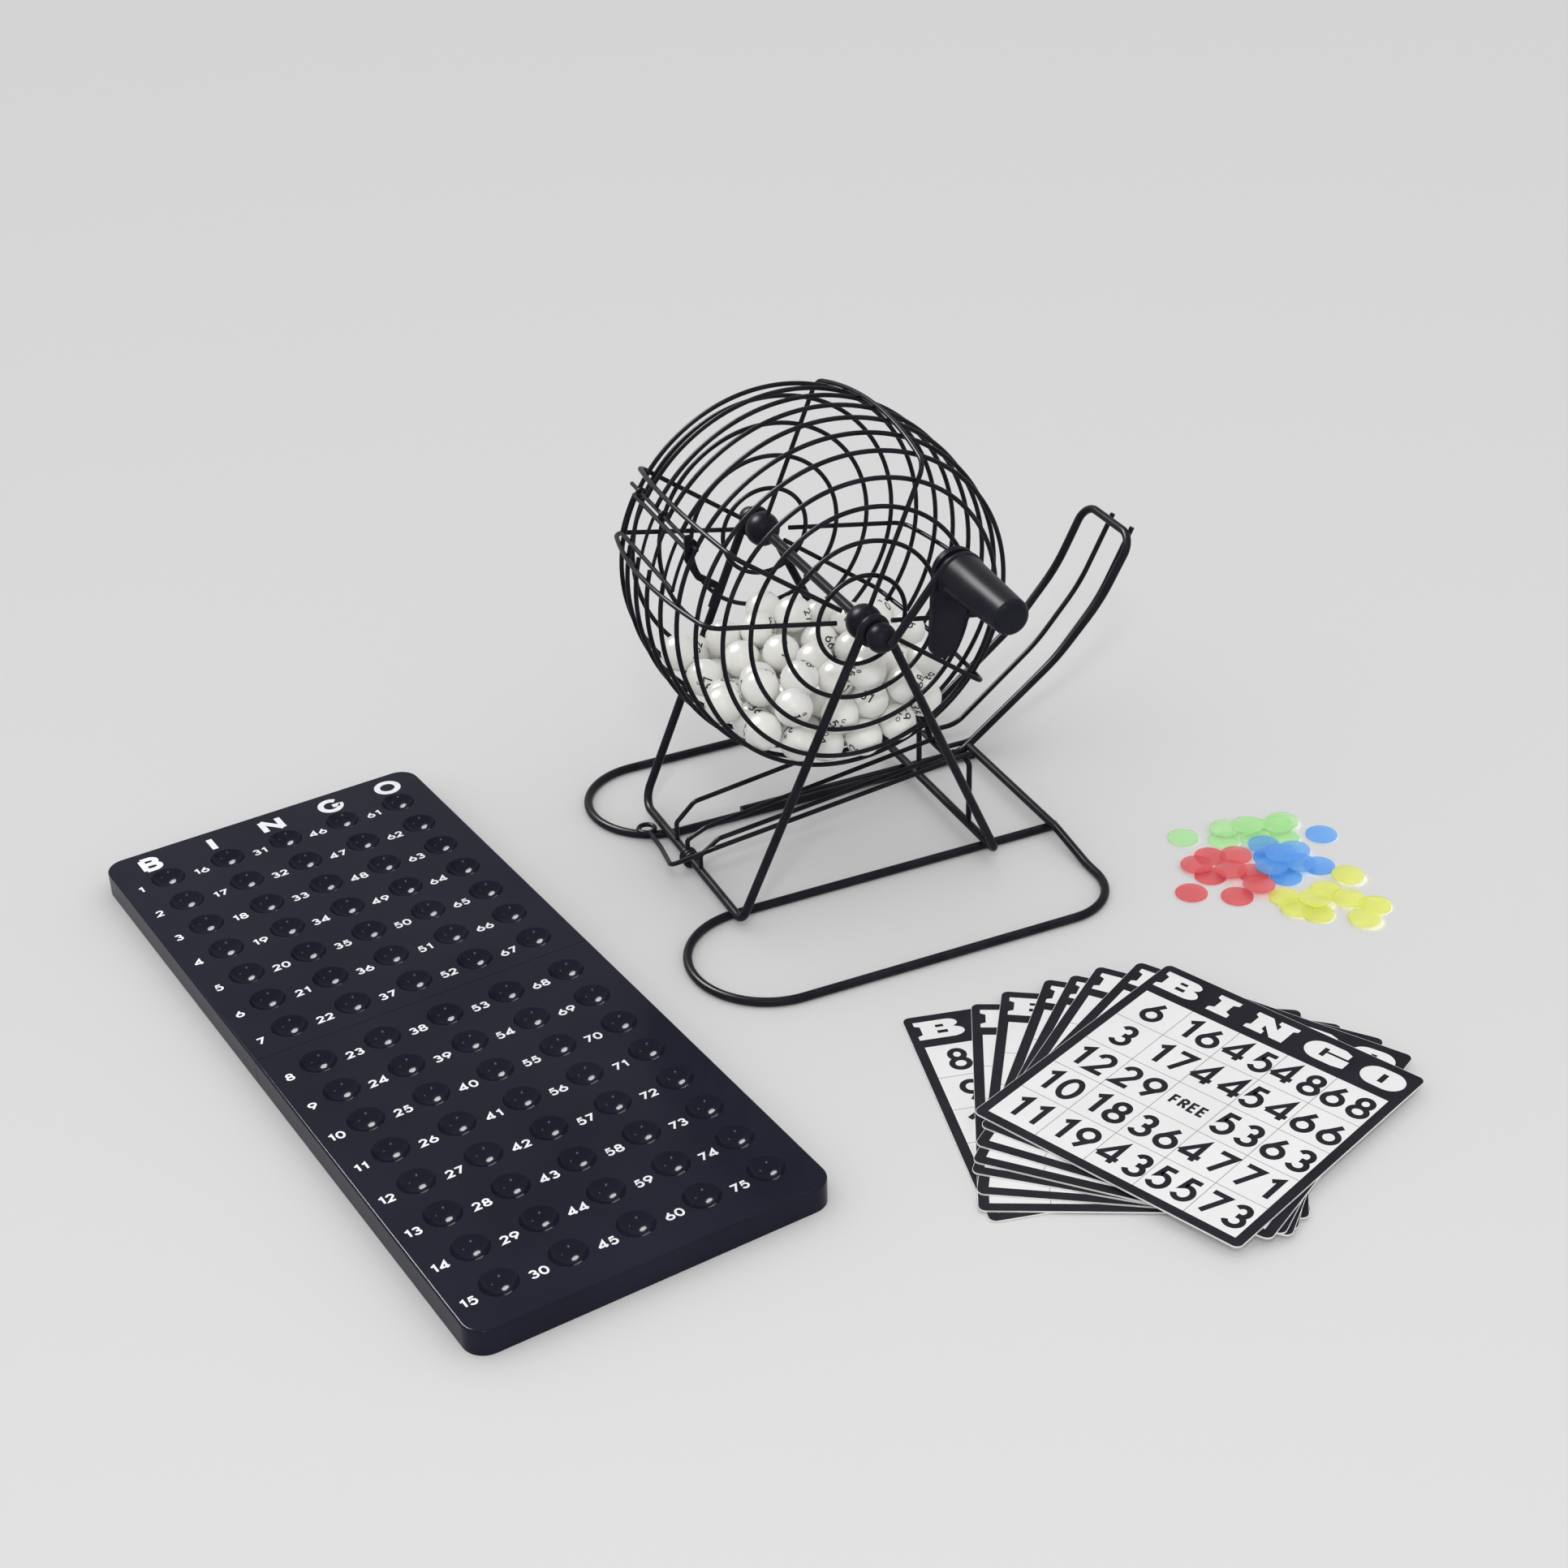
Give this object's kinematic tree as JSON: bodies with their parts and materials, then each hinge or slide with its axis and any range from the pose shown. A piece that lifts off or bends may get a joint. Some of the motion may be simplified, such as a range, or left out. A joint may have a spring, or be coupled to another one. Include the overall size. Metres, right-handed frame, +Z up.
{
  "type": "bingo game",
  "caption": "Bingo game with a hand-cranked wire ball cage on a wire stand, numbered balls, dimpled master board, fanned cards and coloured chips.",
  "frame": {"origin": "middle of the whole set's box, on the table", "axes": "+Z up, +Y along the cage's axis away from the crank, +X along the base wires towards the ramp"},
  "size_m": [0.6835, 0.6064, 0.2818],
  "materials": {
    "black_wire": "glossy black coating on steel wire",
    "black_plastic": "smooth black moulded plastic",
    "ball_plastic": "smooth ivory plastic",
    "board_plastic": "satin dark plastic with white numbers",
    "card_board": "printed board, black and white",
    "chip_green": "translucent green plastic",
    "chip_blue": "translucent blue plastic",
    "chip_red": "translucent red plastic",
    "chip_yellow": "translucent yellow plastic"
  },
  "bodies": {
    "stand": {"front_base_loop": "black_wire", "ramp_loop": "black_wire", "ramp_floor": "black_wire", "near_arch": "black_wire", "far_arch": "black_wire", "left_rail": "black_wire", "right_rail": "black_wire", "trough_rear": "black_wire", "trough_front": "black_wire", "trough_floor_near": "black_wire", "trough_floor_far": "black_wire", "trough_bracket": "black_wire", "rail_wrap": "black_wire"},
    "cage": {"near_hub": "black_plastic", "near_cap": "black_plastic", "far_hub": "black_plastic", "axle": "black_wire", "near_face_rings": "black_wire", "far_face_rings": "black_wire", "side_ring_1": "black_wire", "side_ring_2": "black_wire", "side_ring_3": "black_wire", "side_ring_4": "black_wire", "side_ring_5": "black_wire", "side_ring_6": "black_wire", "side_ring_7": "black_wire", "rib_1": "black_wire", "rib_2": "black_wire", "rib_3": "black_wire", "rib_4": "black_wire", "rib_5": "black_wire", "gate_rod": "black_wire", "crank_arm": "black_wire", "crank_plate": "black_plastic", "grip_pin": "black_wire"},
    "gate": {"gate_frame": "black_wire", "gate_catch": "black_wire"},
    "grip": {"grip": "black_plastic"},
    "ball_load": {"balls_b": "ball_plastic", "balls_i": "ball_plastic", "balls_n": "ball_plastic", "balls_g": "ball_plastic", "balls_o": "ball_plastic"},
    "board_far": {"board_far": "board_plastic"},
    "board_near": {"board_near": "board_plastic"},
    "cards": {"card_1": "card_board", "card_2": "card_board", "card_3": "card_board", "card_4": "card_board", "card_5": "card_board", "card_6": "card_board", "card_7": "card_board", "card_8": "card_board"},
    "chips": {"chips_green": "chip_green", "chips_blue": "chip_blue", "chips_red": "chip_red", "chips_yellow": "chip_yellow"}
  },
  "joints": [
    {"name": "cage_spin", "type": "hinge", "parent": "stand", "child": "cage", "pos_m": [0.05692, 0.13511, 0.17828], "axis": [0, 1, 0], "continuous": true},
    {"name": "gate_swing", "type": "hinge", "parent": "cage", "child": "gate", "pos_m": [-0.03044, 0.09911, 0.23077], "axis": [0.0346, 0.9992, -0.0208], "range_deg": [0, 30]},
    {"name": "grip_spin", "type": "hinge", "parent": "cage", "child": "grip", "pos_m": [0.09842, 0.03011, 0.21298], "axis": [0, 1, 0], "continuous": true},
    {"name": "ball_load_rock", "type": "hinge", "parent": "stand", "child": "ball_load", "pos_m": [0.05692, 0.13511, 0.17828], "axis": [0, 1, 0], "range_deg": [-12, 12]},
    {"name": "board_far_lift", "type": "slide", "parent": "stand", "child": "board_far", "axis": [0, 0, 1], "range_m": [0, 0.1]},
    {"name": "board_near_lift", "type": "slide", "parent": "stand", "child": "board_near", "axis": [0, 0, 1], "range_m": [0, 0.1]},
    {"name": "cards_lift", "type": "slide", "parent": "stand", "child": "cards", "axis": [0, 0, 1], "range_m": [0, 0.1]},
    {"name": "chips_lift", "type": "slide", "parent": "stand", "child": "chips", "axis": [0, 0, 1], "range_m": [0, 0.1]}
  ]
}
